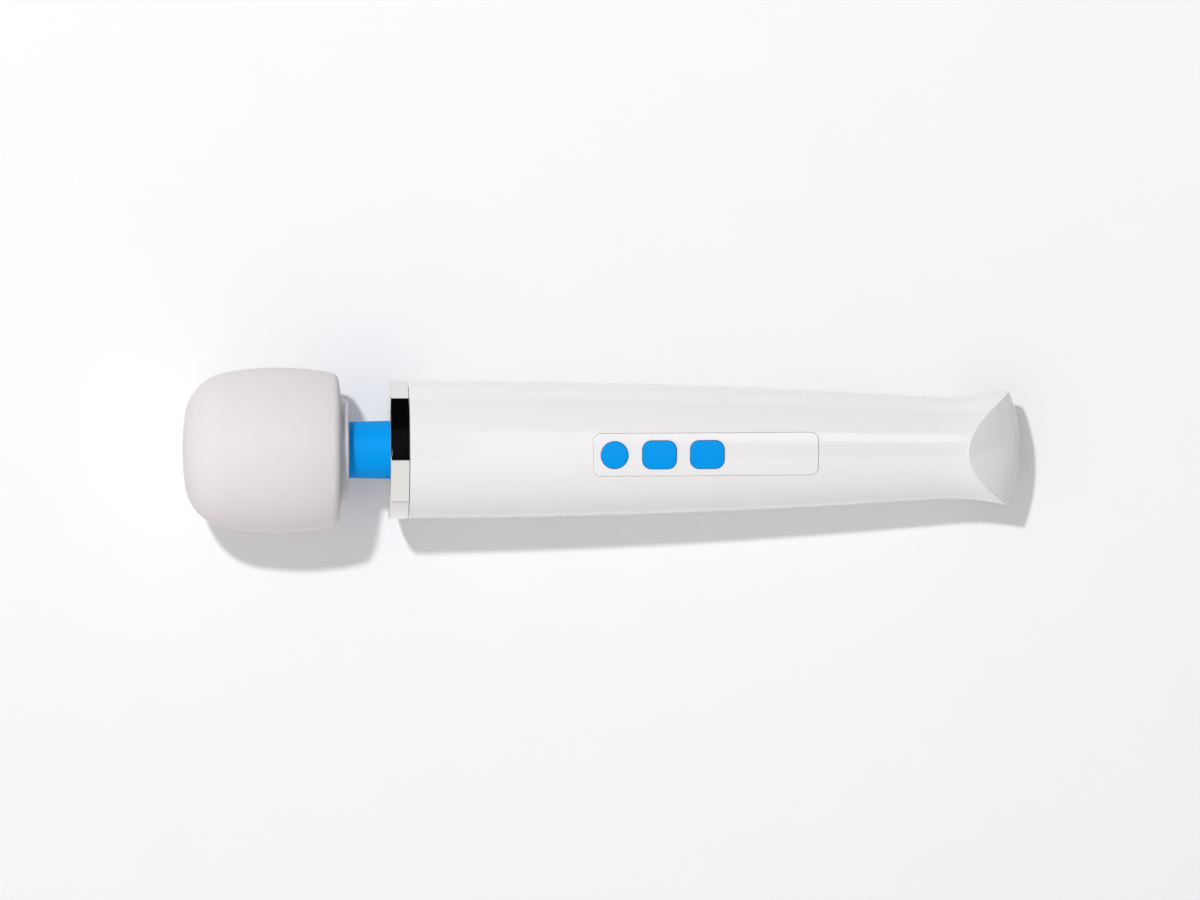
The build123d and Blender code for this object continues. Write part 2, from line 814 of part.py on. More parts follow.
def make_board_screws():
    """Four screws that hold the board to the frame."""
    places = [turned_over(level(board_high, s, y)) for s, y in board_screw_spots]
    return screws(places, small_screw_radius, 4.2, small_head_radius, small_head_height)


def make_frame_screws():
    """Four screws that hold the frame to the front shell."""
    places = [level(frame_low, s, y) for s, y in frame_screw_spots]
    return screws(places, small_screw_radius, 6.5, small_head_radius, small_head_height)


def make_case_screws():
    """Four long screws, driven from the back, that hold the two shells together."""
    places = [level(case_screw_floor, s, y) for s, y in case_screw_spots]
    return screws(places, case_screw_radius, case_screw_length, case_head_radius, case_head_height)


# ------------------------------------------------------------------ keys

keys = {
    "power": (panel_start + round_key_offset, None),
    "faster": (panel_start + up_key_offset, square_key_corner),
    "slower": (panel_start + down_key_offset, square_key_corner),
}
plunger_top = board_high + switch_height + plunger_rise


def key_outline(station, corner, margin):
    """Draws a key's outline, grown by a margin, in the sketch being built."""
    with Locations((station, 0)):
        if corner is None:
            Circle(round_key_radius + margin)
        else:
            RectangleRounded(square_key_length + 2 * margin, square_key_width + 2 * margin, corner + margin)


def panel_outline(margin):
    """Draws the panel's outline, grown by a margin, in the sketch being built."""
    with Locations(((panel_start + panel_end) / 2, 0)):
        RectangleRounded(panel_length + 2 * margin, panel_width + 2 * margin, panel_corner + margin)


def make_key(station, corner):
    """One blue key: a cap that follows the handle's curve, a flange that keeps it in, and a stem."""
    half_width = (round_key_radius if corner is None else square_key_width / 2) + key_flange
    far_end = station + (round_key_radius if corner is None else square_key_length / 2) + key_flange
    roof = sqrt(handle_at(far_end, wall) ** 2 - half_width**2) - key_gap
    with BuildPart() as key:
        with BuildSketch(level(roof - key_flange_thickness)):
            key_outline(station, corner, 0)
        extrude(amount=shell_radius)
        turn_handle(-key_proud, mode=Mode.INTERSECT)
        fillet(key.faces().sort_by(Axis.Z)[-1].edges(), key_edge_fillet)
        with BuildSketch(level(roof - key_flange_thickness)):
            key_outline(station, corner, key_flange)
        extrude(amount=key_flange_thickness)
        with BuildSketch(level(plunger_top)):
            with Locations((station, 0)):
                Circle(plunger_radius + 0.5)
        extrude(amount=roof - key_flange_thickness - plunger_top)
    return key.part


def make_switch_bodies():
    """The three tact switches under the keys."""
    bore = plunger_radius + 2 * running_gap
    with BuildPart() as bodies:
        with Locations(*[level(board_high, station) for station, _ in keys.values()]):
            Box(switch_side, switch_side, switch_height, align=FROM_LOW)
            with Locations((0, 0, switch_height)):
                Cylinder(bore, key_travel + 0.3, align=FROM_HIGH, mode=Mode.SUBTRACT)
    return bodies.part


def make_plunger(station):
    """A switch's plunger, which its key pushes down."""
    with BuildPart() as plunger:
        with Locations(level(plunger_top, station)):
            Cylinder(plunger_radius, plunger_rise + 0.25, align=FROM_HIGH)
    return plunger.part


def make_control_panel():
    """The pale panel let into the front shell round the keys."""
    with BuildPart() as panel:
        with BuildSketch(level(0)):
            panel_outline(0)
        extrude(amount=2 * shell_radius)
        turn_handle(-panel_proud, mode=Mode.INTERSECT)
        turn_handle(panel_depth, mode=Mode.SUBTRACT)
        fillet(panel.faces().sort_by(Axis.Z)[-1].edges(), panel_edge_fillet)
        with BuildSketch(level(0)):
            for station, corner in keys.values():
                key_outline(station, corner, key_gap)
        extrude(amount=2 * shell_radius, mode=Mode.SUBTRACT)
    return panel.part


# ------------------------------------------------------------------ shells and tail

socket_mouth = tail_end - socket_recess
socket_shoulder = tail_end - cap_depth - 1.6
socket_back = socket_mouth - socket_bore_length - 2.5
clip_start = socket_back - 1.0
clip_radius = socket_body_radius + 0.6
skirt_radius = handle_at(waist, wall) - hook_height
skirt_bore = skirt_radius - skirt_wall
cap_hook = waist - 3.5
cap_rib = cap_hook + hook_thickness + fit_gap
socket_boss_start = socket_back - 2.4


def hollow_handle():
    """The handle's hollow form from the collar to the tail cap, before it is split."""
    turn_handle(0)
    turn_tube(anchor_front - 0.6, shell_front, spigot_outer)
    trim_tail(cap_lip + fit_gap)
    turn_handle(wall, mode=Mode.SUBTRACT)
    turn_tube(anchor_front - 0.6, shell_front, spigot_inner, mode=Mode.SUBTRACT)
    turn_tube(rib_start, rib_start + rib_thickness, spigot_inner + wall / 2, rib_inner)
    turn_tube(cap_rib, cap_rib + rib_thickness, handle_at(cap_rib, wall / 2), skirt_radius + 2 * fit_gap)


def make_front_shell():
    """The upper shell, with the panel's recess, the keys' windows and bosses for the screws."""
    with BuildPart() as bosses:
        with Locations(*[level(frame_high + fit_gap / 2, s, y) for s, y in frame_screw_spots]):
            Cylinder(small_boss_radius, shell_radius, align=FROM_LOW)
        with Locations(*[level(fit_gap / 2, s, y) for s, y in case_screw_spots]):
            Cylinder(case_boss_radius, shell_radius, align=FROM_LOW)
        turn_handle(wall / 2, mode=Mode.INTERSECT)
    with BuildPart() as recess:
        with BuildSketch(level(0)):
            panel_outline(panel_gap)
        extrude(amount=2 * shell_radius)
        turn_handle(panel_depth + fit_gap / 2, mode=Mode.SUBTRACT)
    with BuildPart() as shell:
        hollow_handle()
        split(bisect_by=level(fit_gap / 4), keep=Keep.TOP)
        add(bosses.part)
        add(recess.part, mode=Mode.SUBTRACT)
        with BuildSketch(level(0)):
            for station, corner in keys.values():
                key_outline(station, corner, 2 * key_gap)
        extrude(amount=2 * shell_radius, mode=Mode.SUBTRACT)
        with Locations(*[level(frame_high, s, y) for s, y in frame_screw_spots]):
            Cylinder(small_screw_radius + running_gap, 5.5, align=FROM_LOW, mode=Mode.SUBTRACT)
        with Locations(*[level(0, s, y) for s, y in case_screw_spots]):
            Cylinder(
                case_screw_radius + running_gap,
                case_screw_length + case_screw_floor + 1,
                align=FROM_LOW,
                mode=Mode.SUBTRACT,
            )
    return shell.part


def make_rear_shell():
    """The lower shell, with screw wells and the saddles that the battery lies in."""
    with BuildPart() as fittings:
        with Locations(*[level(-fit_gap / 2, s, y) for s, y in case_screw_spots]):
            Cylinder(case_well_radius, shell_radius, align=FROM_HIGH)
        with Locations(*[level(battery_height - 3, s) for s in saddle_stations]):
            Box(3, 2 * shell_radius, shell_radius, align=FROM_HIGH)
        turn_handle(wall / 2, mode=Mode.INTERSECT)
        with Locations(across(battery_start - 4, 0, battery_height)):
            Cylinder(battery_radius + fit_gap, battery_length + 8, align=FROM_LOW, mode=Mode.SUBTRACT)
    with BuildPart() as shell:
        hollow_handle()
        split(bisect_by=level(-fit_gap / 4), keep=Keep.BOTTOM)
        add(fittings.part)
        with Locations(*[level(case_screw_floor, s, y) for s, y in case_screw_spots]):
            Cylinder(case_head_radius + 3 * fit_gap, shell_radius, align=FROM_HIGH, mode=Mode.SUBTRACT)
            Cylinder(case_screw_radius + fit_gap, shell_radius, mode=Mode.SUBTRACT)
    return shell.part


def make_tail_cap():
    """The cap whose rounded nose ends the flare. Its hooked skirt is trapped between the two shells."""
    with BuildPart() as plug:
        turn_handle(wall + fit_gap)
        trim_tail(cap_lip)
        hollow_tail(cap_depth)
    with BuildPart() as skirt:
        turn_tube(cap_hook, tail_end, skirt_radius, skirt_bore)
        turn_tube(cap_hook, cap_hook + hook_thickness, handle_at(waist, wall) - 2 * fit_gap, skirt_bore)
        turn_tube(socket_boss_start, tail_end, socket_body_radius + 1.4)
        trim_tail(2 * cap_lip)
        turn_tube(socket_boss_start, socket_shoulder, socket_body_radius + fit_gap / 2, mode=Mode.SUBTRACT)
        turn_tube(clip_start - fit_gap / 2, socket_back, clip_radius + fit_gap, mode=Mode.SUBTRACT)
    with BuildPart() as cap:
        turn_handle(0)
        trim_tail(0)
        hollow_tail(cap_lip)
        add(plug.part)
        add(skirt.part)
        turn_tube(tail_end - 20, tail_end + 2, socket_nose_radius + fit_gap, mode=Mode.SUBTRACT)
    return cap.part


def make_charge_socket():
    """The charging socket, a body behind the cap whose bored nose comes out through it."""
    with BuildPart() as socket:
        turn_tube(socket_back, socket_shoulder - seal_thickness - fit_gap, socket_body_radius)
        turn_tube(socket_back, socket_mouth, socket_nose_radius)
        turn_tube(socket_mouth - socket_bore_length, socket_mouth, socket_bore_radius, mode=Mode.SUBTRACT)
    return socket.part


def make_socket_clip():
    """The open ring that snaps into the cap behind the socket."""
    with BuildPart() as clip:
        turn_tube(clip_start, socket_back - fit_gap / 2, clip_radius, socket_body_radius - 1.4)
        with Locations(across(clip_start, 0, socket_body_radius)):
            Box(2.5, 4, 4, mode=Mode.SUBTRACT)
    return clip.part


def make_socket_seal():
    """The rubber ring between the socket's shoulder and the cap."""
    start = socket_shoulder - seal_thickness - fit_gap / 2
    with BuildPart() as seal:
        turn_tube(start, start + seal_thickness, socket_body_radius, socket_nose_radius + fit_gap / 2)
    return seal.part


# ------------------------------------------------------------------ leads in the handle


def make_motor_connector():
    """The plug and socket that join the motor's leads to the board's."""
    with BuildPart() as connector:
        with Locations(level(0, connector_start + connector_length / 2)):
            Box(connector_length, 7, 4.2)
        chamfer(connector.edges().filter_by(Axis.X), 0.5)
    return connector.part


def make_board_leads():
    """The board's two leads to the motor's connector."""
    height = (board_low + board_high) / 2
    return Compound(children=[
        wire(
            lead_radius,
            4,
            (connector_start + connector_length, side * lead_spacing / 2, 0),
            (connector_start + connector_length + 9, side * lead_spacing / 2, 0),
            (board_start - 12, side * lead_spacing / 2, height),
            (board_start, side * lead_spacing / 2, height),
        )
        for side in (1, -1)
    ])


def make_charge_leads():
    """The two leads from the charging socket to the board."""
    height = (board_low + board_high) / 2
    return Compound(children=[
        wire(
            lead_radius,
            4,
            (socket_back, side * lead_spacing / 2, 0),
            (socket_back - 10, side * lead_spacing / 2, 0),
            (board_end + 16, side * lead_spacing / 2, height),
            (board_end, side * lead_spacing / 2, height),
        )
        for side in (1, -1)
    ])


def make_battery_leads():
    """The leads from the cell's two tabs up to the board's ends, beside the frame."""
    height = (board_low + board_high) / 2
    ends = ((battery_start - 1.6, board_start), (battery_end + 0.2, board_end))
    return Compound(children=[
        wire(
            lead_radius,
            1.4,
            (tab, 0, battery_height),
            (station, 0, battery_height),
            (station, y, battery_height + 4),
            (station, y, height),
            (edge, y, height),
        )
        for (tab, edge), (station, y) in zip(ends, lead_spots)
    ])


def main():
    """Builds every piece and writes it."""
    os.makedirs("parts", exist_ok=True)
    save(make_head_cover(), "head_cover")
    save(make_head_cup(), "head_cup")
    save(make_head_base(), "head_base")
    save(make_neck_ring(), "neck_ring")
    save(make_head_screws(), "head_screws")
    save(make_ring_screws(), "ring_screws")
    save(make_motor_can(), "motor_can")
    save(make_motor_bell(), "motor_end_bell")
    save(make_motor_terminals(), "motor_terminals")
    save(make_motor_bushes(), "motor_bushes")
    save(make_motor_magnets(), "motor_magnets")
    save(make_motor_shaft(), "motor_shaft")
    save(make_armature_core(), "armature_core")
    save(make_armature_windings(), "armature_windings")
    save(make_commutator(), "commutator")
    save(make_weight(), "eccentric_weight")
    save(make_motor_boot(), "motor_boot")
    save(make_neck_sleeve(), "neck_sleeve")
    save(make_neck_spring(), "neck_spring")
    save(make_motor_leads(), "motor_leads")
    save(make_collar(), "collar_ring")
    save(make_neck_anchor(), "neck_anchor")
    save(make_anchor_screws(), "anchor_screws")
    save(make_front_shell(), "front_shell")
    save(make_rear_shell(), "rear_shell")
    save(make_tail_cap(), "tail_cap")
    save(make_control_panel(), "control_panel")
    for name, (station, corner) in keys.items():
        save(make_key(station, corner), f"{name}_key")
        save(make_plunger(station), f"{name}_switch_plunger")
    save(make_switch_bodies(), "switch_bodies")
    save(make_inner_frame(), "inner_frame")
    save(make_control_board(), "control_board")
    save(make_board_chips(), "board_chips")
    save(make_indicator_lights(), "indicator_lights")
    save(make_battery_cell(), "battery_cell")
    save(make_battery_wrap(), "battery_wrap")
    save(make_battery_tabs(), "battery_tabs")
    save(make_board_screws(), "board_screws")
    save(make_frame_screws(), "frame_screws")
    save(make_case_screws(), "case_screws")
    save(make_charge_socket(), "charge_socket")
    save(make_socket_clip(), "socket_clip")
    save(make_socket_seal(), "socket_seal")
    save(make_motor_connector(), "motor_connector")
    save(make_board_leads(), "board_leads")
    save(make_charge_leads(), "charge_leads")
    save(make_battery_leads(), "battery_leads")


main()
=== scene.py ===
"""The looks of a cordless wand massager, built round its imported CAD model. Lengths are in metres."""

import json
import math

import bmesh
import bpy
from mathutils import Matrix, Vector


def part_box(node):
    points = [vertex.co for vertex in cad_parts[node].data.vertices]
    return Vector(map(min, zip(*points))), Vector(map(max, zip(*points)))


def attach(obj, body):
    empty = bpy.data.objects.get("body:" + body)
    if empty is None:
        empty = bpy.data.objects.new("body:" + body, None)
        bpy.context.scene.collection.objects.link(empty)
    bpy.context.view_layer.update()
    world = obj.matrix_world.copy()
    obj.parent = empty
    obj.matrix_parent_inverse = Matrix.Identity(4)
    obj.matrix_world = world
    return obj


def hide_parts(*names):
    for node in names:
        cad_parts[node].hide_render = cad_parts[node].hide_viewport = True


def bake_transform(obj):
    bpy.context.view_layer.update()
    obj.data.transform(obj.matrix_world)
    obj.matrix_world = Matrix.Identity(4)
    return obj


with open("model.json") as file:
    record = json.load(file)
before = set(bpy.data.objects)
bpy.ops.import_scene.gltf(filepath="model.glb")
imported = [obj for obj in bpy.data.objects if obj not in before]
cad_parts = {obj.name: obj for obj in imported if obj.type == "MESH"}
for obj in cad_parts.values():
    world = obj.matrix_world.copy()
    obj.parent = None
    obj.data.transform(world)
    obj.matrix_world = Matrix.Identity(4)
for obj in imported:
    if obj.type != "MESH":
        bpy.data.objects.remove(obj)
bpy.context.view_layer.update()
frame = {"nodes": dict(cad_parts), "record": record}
nodes = frame["nodes"]
MM = 0.001

# The wand's axis is level in the row frame. Stations run along it, in millimetres from the head's tip.
tip_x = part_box("head_cover")[0].x
axis_z = (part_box("head_cover")[0].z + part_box("head_cover")[1].z) / 2


def at(station, y=0.0, height=0.0):
    """A point in metres from a station, a Y and a height above the axis in millimetres."""
    return Vector((tip_x + station * MM, y * MM, axis_z + height * MM))


def station_of(corner):
    """The station of a point in metres."""
    return (corner.x - tip_x) / MM


# ------------------------------------------------------------------ materials


class Nodes:
    """A node tree that starts empty, with short calls for the nodes it takes."""

    def __init__(self, tree):
        self.tree = tree
        tree.nodes.clear()

    def add(self, kind):
        """Adds a node."""
        return self.tree.nodes.new(kind)

    def give(self, socket, value):
        """Links a socket to another, or sets its value."""
        if isinstance(value, bpy.types.NodeSocket):
            self.tree.links.new(value, socket)
        else:
            socket.default_value = value

    def calculate(self, operation, *values):
        """The result of a sum on one or two values."""
        node = self.add("ShaderNodeMath")
        node.operation = operation
        for socket, value in zip(node.inputs, values):
            self.give(socket, value)
        return node.outputs[0]

    def mix(self, factor, *colors):
        """A colour between two."""
        node = self.add("ShaderNodeMix")
        node.data_type = "RGBA"
        self.give(node.inputs["Factor"], factor)
        for socket, color in zip([i for i in node.inputs if i.type == "RGBA"], colors):
            self.give(socket, color if isinstance(color, bpy.types.NodeSocket) else (*color, 1))
        return next(o for o in node.outputs if o.type == "RGBA")

    def noise(self, place, scale, detail, roughness):
        """Noise at a scale in cycles per metre."""
        node = self.add("ShaderNodeTexNoise")
        for key, value in (("Vector", place), ("Scale", scale), ("Detail", detail), ("Roughness", roughness)):
            self.give(node.inputs[key], value)
        return node.outputs["Fac"]

    def remap(self, value, start, end, low=0.0, high=1.0, interpolation="LINEAR"):
        """Maps start..end of a value to low..high."""
        node = self.add("ShaderNodeMapRange")
        node.interpolation_type = interpolation
        self.give(node.inputs["Value"], value)
        for key, number in (("From Min", start), ("From Max", end), ("To Min", low), ("To Max", high)):
            node.inputs[key].default_value = number
        return node.outputs["Result"]


def make_material(
    name, color, roughness, variation=0.03, spread=0.06, grain=(900, 0.00001), metallic=0.0, specular=0.5
):
    """A material whose colour drifts by variation and whose roughness varies by spread.

    The grain is its cycles per metre and its depth in metres.
    """
    noise_low, noise_high = 0.3, 0.7
    material = bpy.data.materials.new(name)
    material.use_nodes = True
    made = Nodes(material.node_tree)
    surface = made.add("ShaderNodeBsdfPrincipled")
    made.give(made.add("ShaderNodeOutputMaterial").inputs["Surface"], surface.outputs[0])
    place = made.add("ShaderNodeTexCoord").outputs["Object"]

    cloud = made.noise(place, scale=35, detail=3.0, roughness=0.5)
    drift = made.remap(cloud, noise_low, noise_high)
    darker = [min(1.0, c * (1 - variation)) for c in color]
    lighter = [min(1.0, c * (1 + variation)) for c in color]
    made.give(surface.inputs["Base Color"], made.mix(drift, darker, lighter))

    wear = made.noise(place, scale=160, detail=4.0, roughness=0.6)
    varied = made.remap(wear, noise_low, noise_high, roughness - spread / 2, roughness + spread / 2)
    made.give(surface.inputs["Roughness"], varied)

    cycles, depth = grain
    bump = made.add("ShaderNodeBump")
    bump.inputs["Strength"].default_value = 1.0
    bump.inputs["Distance"].default_value = depth
    made.give(bump.inputs["Height"], made.noise(place, scale=cycles, detail=2.0, roughness=0.6))
    made.give(surface.inputs["Normal"], bump.outputs[0])

    surface.inputs["Metallic"].default_value = metallic
    surface.inputs["Specular IOR Level"].default_value = specular
    return material


# Each slot's values are make_material's, in its order.
finishes = {
    "soft_cover": ((0.775, 0.742, 0.728), 0.6, 0.012, 0.08, (2600, 0.00002), 0.0, 0.3),
    "blue_silicone": ((0.0, 0.33, 0.86), 0.55, 0.015, 0.08, (2400, 0.000012), 0.0, 0.05),
    "white_shell": ((0.885, 0.870, 0.860), 0.07, 0.005, 0.02, (500, 0.000002)),
    "white_panel": ((0.89, 0.878, 0.876), 0.15, 0.006, 0.04, (2500, 0.000006)),
    # The white ring's grey-blue is partly its own plastic, and partly painted shade from the head and collar
    # plus a painted reflection of the blue neck.
    "white_ring": ((0.58, 0.59, 0.635), 0.30, 0.01, 0.05, (900, 0.000006)),
    "chromed": ((0.80, 0.785, 0.765), 0.025, 0.01, 0.01, (120, 0.000002), 1.0),
    "inner_plastic": ((0.45, 0.46, 0.48), 0.5),
    "dark_plastic": ((0.02, 0.02, 0.022), 0.4, 0.1),
    "black_rubber": ((0.018, 0.018, 0.018), 0.7, 0.1),
    "zinc_steel": ((0.62, 0.62, 0.62), 0.32, 0.06, 0.12, (700, 0.00001), 1.0),
    "dark_magnet": ((0.07, 0.07, 0.075), 0.55, 0.1, 0.1, (700, 0.00002), 0.6),
    "iron_core": ((0.30, 0.30, 0.31), 0.42, 0.06, 0.1, (700, 0.00001), 1.0),
    "copper": ((0.75, 0.32, 0.15), 0.33, 0.05, 0.1, (900, 0.00001), 1.0),
    "bronze": ((0.62, 0.43, 0.20), 0.40, 0.05, 0.1, (900, 0.00001), 1.0),
    "green_board": ((0.015, 0.16, 0.06), 0.35, 0.08),
    "nickel": ((0.70, 0.68, 0.62), 0.28, 0.05, 0.1, (900, 0.000006), 1.0),
    "cell_wrap": ((0.04, 0.22, 0.42), 0.3, 0.05),
    "lamp_white": ((0.85, 0.85, 0.75), 0.4),
    "wire_insulation": ((0.42, 0.02, 0.02), 0.4, 0.05),
}
materials = {name: make_material(name, *values) for name, values in finishes.items()}

for entry in frame["record"]["subparts"]:
    mesh = nodes[entry["node"]].data
    mesh.materials.clear()
    mesh.materials.append(materials[entry["material_slot"]])


# ------------------------------------------------------------------ meshes

ON_AXIS = 1e-6  # a radius below this is a point on the axis


def link_object(name, mesh_data, material):
    """Turns a bmesh into an object in the scene."""
    mesh = bpy.data.meshes.new(name)
    mesh_data.to_mesh(mesh)
    mesh_data.free()
    mesh.materials.append(material)
    made = bpy.data.objects.new(name, mesh)
    bpy.context.scene.collection.objects.link(made)
    return made


def new_object(name, mesh_data, slot):
    """Turns a bmesh into a smooth piece with the slot's material. Edges that turn sharply stay crisp."""
    bmesh.ops.recalc_face_normals(mesh_data, faces=mesh_data.faces)
    piece = link_object(name, mesh_data, materials[slot])
    piece.data.shade_smooth()
    piece.data.set_sharp_from_angle(angle=math.radians(35))
    return piece


def lathe(name, profile, slot, segments, closed=True):
    """Turns a profile of (station, radius) about the axis. If closed, its last point joins its first."""
    built = bmesh.new()
    rings = []
    for station, radius in profile:
        if radius < ON_AXIS:
            rings.append([built.verts.new(at(station))] * segments)
            continue
        rings.append([
            built.verts.new(at(station, radius * math.sin(turn), radius * math.cos(turn)))
            for turn in (2 * math.pi * i / segments for i in range(segments))
        ])
    pairs = list(zip(rings, rings[1:]))
    if closed:
        pairs.append((rings[-1], rings[0]))
    for here, there in pairs:
        for i in range(segments):
            j = (i + 1) % segments
            corners = list(dict.fromkeys((here[i], here[j], there[j], there[i])))
            if len(corners) > 2:
                built.faces.new(corners)
    return new_object(name, built, slot)


def tube(name, centers, radius, slot, sides):
    """A round tube along points, with a radius in millimetres, closed at both ends."""
    built = bmesh.new()
    rings = []
    outward = Vector((0, 1, 0))
    for before, center, after in zip(centers[:1] + centers, centers, centers[1:] + centers[-1:]):
        along = (after - before).normalized()
        outward = (outward - along * outward.dot(along)).normalized()
        side = along.cross(outward)
        rings.append([
            built.verts.new(center + (outward * math.cos(a) + side * math.sin(a)) * radius * MM)
            for a in (2 * math.pi * k / sides for k in range(sides))
        ])
    for here, there in zip(rings, rings[1:]):
        for k in range(sides):
            built.faces.new((here[k], here[(k + 1) % sides], there[(k + 1) % sides], there[k]))
    built.faces.new(rings[0])
    built.faces.new(rings[-1])
    return new_object(name, built, slot)


def sine(degrees):
    return math.sin(math.radians(degrees))


def cosine(degrees):
    return math.cos(math.radians(degrees))


def arc(center, radius, start, end, steps):
    """Points on an arc, from one angle to another in degrees. 0 points along the wand, and 90 outwards."""
    angles = [start + (end - start) * i / steps for i in range(steps + 1)]
    return [(center[0] + radius * cosine(angle), center[1] + radius * sine(angle)) for angle in angles]


def straight(first, last, steps):
    """Numbers from the first to the last in even steps."""
    return [first + (last - first) * i / steps for i in range(steps + 1)]


def rounded_corner(before, corner, after, radius, steps=10):
    """Points of a fillet at a corner between two straight runs."""
    a = (Vector(before) - Vector(corner)).normalized()
    b = (Vector(after) - Vector(corner)).normalized()
    half = a.angle(b) / 2
    center = Vector(corner) + (a + b).normalized() * radius / math.sin(half)
    first = Vector(corner) + a * radius / math.tan(half) - center
    last = Vector(corner) + b * radius / math.tan(half) - center
    sweep = first.angle_signed(last)
    turned = []
    for i in range(steps + 1):
        angle = -sweep * i / steps
        turned.append((
            center.x + first.x * math.cos(angle) - first.y * math.sin(angle),
            center.y + first.x * math.sin(angle) + first.y * math.cos(angle),
        ))
    return turned


# ------------------------------------------------------------------ head

# The head's outline is the same three tangent arcs as the CAD's: face, shoulder and barrel.
HEAD_RADIUS = 24.8
SHOULDER_RADIUS = 15.0
BARREL_RADIUS = 85.0
FACE_TURN = 8.0
BARREL_START = 79.5
HEAD_BASE = 47.9
BASE_FALL = 1.3
RIM_FILLET = 2.8
COVER_WALL = 2.6
COVER_LIP_START = 45.3
COVER_OPENING = 15.2
LIP_SET_BACK = 0.35
LIP_ROUNDING = 0.4
LIP_BEVEL_LENGTH = 0.2
LIP_BEVEL_DEPTH = 0.3

widest_of_shoulder = SHOULDER_RADIUS * (sine(BARREL_START) - sine(FACE_TURN))
widest_of_barrel = BARREL_RADIUS * (1 - sine(BARREL_START))
crown = (HEAD_RADIUS - widest_of_shoulder - widest_of_barrel) / sine(FACE_TURN)
shoulder_center = (
    crown - (crown - SHOULDER_RADIUS) * cosine(FACE_TURN),
    (crown - SHOULDER_RADIUS) * sine(FACE_TURN),
)
barrel_center = (
    shoulder_center[0] + (BARREL_RADIUS - SHOULDER_RADIUS) * cosine(BARREL_START),
    shoulder_center[1] - (BARREL_RADIUS - SHOULDER_RADIUS) * sine(BARREL_START),
)


def head_outline(inset, last_station):
    """The outline inset evenly, from the tip to a station on the barrel."""
    reach = BARREL_RADIUS - inset
    last_angle = 90 - math.degrees(math.asin((last_station - barrel_center[0]) / reach))
    points = arc((crown, 0), crown - inset, 180, 180 - FACE_TURN, 10)
    points += arc(shoulder_center, SHOULDER_RADIUS - inset, 180 - FACE_TURN, 180 - BARREL_START, 40)[1:]
    points += arc(barrel_center, reach, 180 - BARREL_START, last_angle, 30)[1:]
    return points


def make_head_skin():
    """The silicone cover: a thick skin with a rounded rim, closed round the head's base."""
    outer = head_outline(0, HEAD_BASE - BASE_FALL)
    rim = outer[-1]
    opening = (HEAD_BASE - LIP_SET_BACK, COVER_OPENING)
    kept = [p for p in outer if math.dist(p, rim) > RIM_FILLET]
    corner = rounded_corner(kept[-1], rim, opening, RIM_FILLET)
    stations, radii = (straight(a, b, 8)[1:-1] for a, b in zip(corner[-1], opening))
    lip = arc((opening[0] - LIP_ROUNDING, opening[1] + LIP_ROUNDING), LIP_ROUNDING, 0, -90, 5)
    inner = head_outline(COVER_WALL, COVER_LIP_START - LIP_BEVEL_LENGTH)
    profile = kept + corner + list(zip(stations, radii)) + lip + [(COVER_LIP_START, COVER_OPENING)]
    profile += [(COVER_LIP_START, inner[-1][1] - LIP_BEVEL_DEPTH)] + inner[::-1]
    return lathe("head_skin", profile, "soft_cover", segments=192, closed=False)


head_skin = make_head_skin()
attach(head_skin, "head")
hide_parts("head_cover")

# ------------------------------------------------------------------ neck

# The neck bends at both of its joints, so each of its pieces is two halves that meet in the middle.
SLEEVE_START, SLEEVE_END = (station_of(corner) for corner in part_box("neck_sleeve"))
NECK_FRONT = station_of(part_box("neck_ring")[1])
NECK_BACK = station_of(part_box("collar_ring")[0])
NECK_MIDDLE = (NECK_FRONT + NECK_BACK) / 2
NECK_FRONT_RADIUS = 8.45
NECK_WIDENING = 0.3
NECK_BORE = 6.95
FLANGE_RADIUS = 11.5
FLANGE_THICKNESS = 1.9
FLANGE_EDGE = 0.2
SPRING_TURNS = 8
SPRING_RADIUS = 5.85
SPRING_WIRE = 0.7
SPRING_END_GAP = 0.9
LEAD_START, LEAD_END = (station_of(corner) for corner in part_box("motor_leads"))
LEAD_RADIUS = 0.6
LEAD_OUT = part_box("motor_leads")[1].y / MM - LEAD_RADIUS
LEAD_SPACING = 1.2
LEAD_BEND = 1.2
LEAD_TURN = LEAD_START + 1.5  # where the leads run inwards from the motor


def neck_radius(station):
    """The neck widens a little towards the collar."""
    share = (station - NECK_FRONT) / (NECK_BACK - NECK_FRONT)
    return NECK_FRONT_RADIUS + NECK_WIDENING * min(1, max(0, share))


def sleeve_half(name, end):
    """One half of the sleeve, from its flange to the ring in the middle of the neck."""
    way = 1 if NECK_MIDDLE > end else -1
    wall_start = end + way * FLANGE_THICKNESS
    wall = straight(wall_start, NECK_MIDDLE, 40)
    profile = [(end, NECK_BORE), (end, FLANGE_RADIUS - FLANGE_EDGE), (end + way * FLANGE_EDGE, FLANGE_RADIUS)]
    profile += [(wall_start - way * FLANGE_EDGE, FLANGE_RADIUS), (wall_start, FLANGE_RADIUS - FLANGE_EDGE)]
    profile += [(s, neck_radius(s)) for s in wall]
    profile += [(s, NECK_BORE) for s in reversed(wall)]
    return lathe(name, profile, "blue_silicone", segments=128)


def spring_half(name, first_turn, last_turn):
    """Half of the coil spring, as a tube along a helix."""
    per_turn = 40
    start = SLEEVE_START + SPRING_END_GAP
    pitch = (SLEEVE_END - SPRING_END_GAP - start) / SPRING_TURNS
    centers = []
    for i in range(first_turn * per_turn, last_turn * per_turn + 1):
        angle = 2 * math.pi * i / per_turn
        side, height = SPRING_RADIUS * math.sin(angle), SPRING_RADIUS * math.cos(angle)
        centers.append(at(start + pitch * i / per_turn, side, height))
    return tube(name, centers, SPRING_WIRE, "zinc_steel", sides=12)


